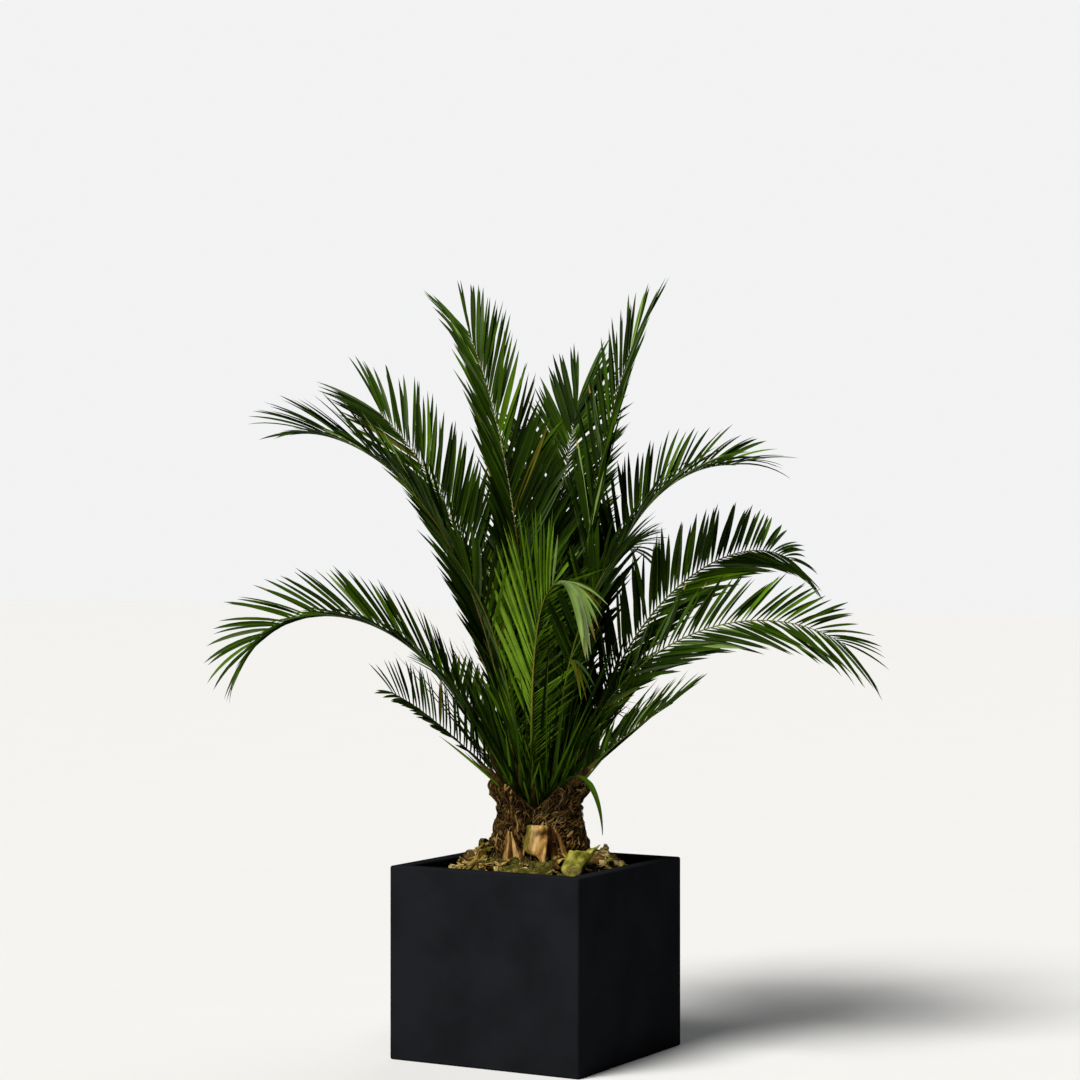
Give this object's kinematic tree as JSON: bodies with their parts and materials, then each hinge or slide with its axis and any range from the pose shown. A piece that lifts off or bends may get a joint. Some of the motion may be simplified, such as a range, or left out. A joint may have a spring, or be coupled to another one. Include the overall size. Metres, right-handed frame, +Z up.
{
  "type": "pygmy date palm in a square planter",
  "caption": "Young feather palm with arching fronds round a squat fibrous trunk, growing from a moss bed in a plain square matt black planter.",
  "frame": {"origin": "centre of the planter's flat underside", "axes": "+Z up along the planter and trunk, X and Y along the planter's sides"},
  "size_m": [1.0865, 1.1832, 1.4888],
  "materials": {
    "planter": "matt, near black",
    "soil": "crumbly, dark brown",
    "moss_bed": "rough, olive and ochre",
    "trunk": "fibrous, dark brown",
    "husks": "dry, tan",
    "cut_stalk": "satin, yellow green",
    "fronds": "satin, deep green"
  },
  "bodies": {
    "root": {"cut_stalk": "cut_stalk", "frond_centre": "fronds", "frond_front_fall": "fronds", "frond_front_left": "fronds", "frond_front_right": "fronds", "frond_front_rise": "fronds", "frond_heart_left": "fronds", "frond_heart_right": "fronds", "frond_left_arch_fall": "fronds", "frond_left_arch_rise": "fronds", "frond_left_high": "fronds", "frond_left_low": "fronds", "frond_left_rear": "fronds", "frond_rear_fall": "fronds", "frond_rear_high": "fronds", "frond_rear_left_fall": "fronds", "frond_rear_left_rise": "fronds", "frond_rear_low_left": "fronds", "frond_rear_low_right": "fronds", "frond_rear_right_fall": "fronds", "frond_rear_right_rise": "fronds", "frond_rear_rise": "fronds", "frond_right_arch_fall": "fronds", "frond_right_arch_rise": "fronds", "frond_right_high_fall": "fronds", "frond_right_high_rise": "fronds", "frond_right_low": "fronds", "frond_right_mid_fall": "fronds", "frond_right_mid_rise": "fronds", "frond_top_left": "fronds", "frond_top_right": "fronds", "hanging_leaf": "fronds", "husk_1": "husks", "husk_2": "husks", "husk_3": "husks", "husk_4": "husks", "moss_bed": "moss_bed", "planter": "planter", "soil": "soil", "trunk": "trunk"}
  },
  "joints": []
}
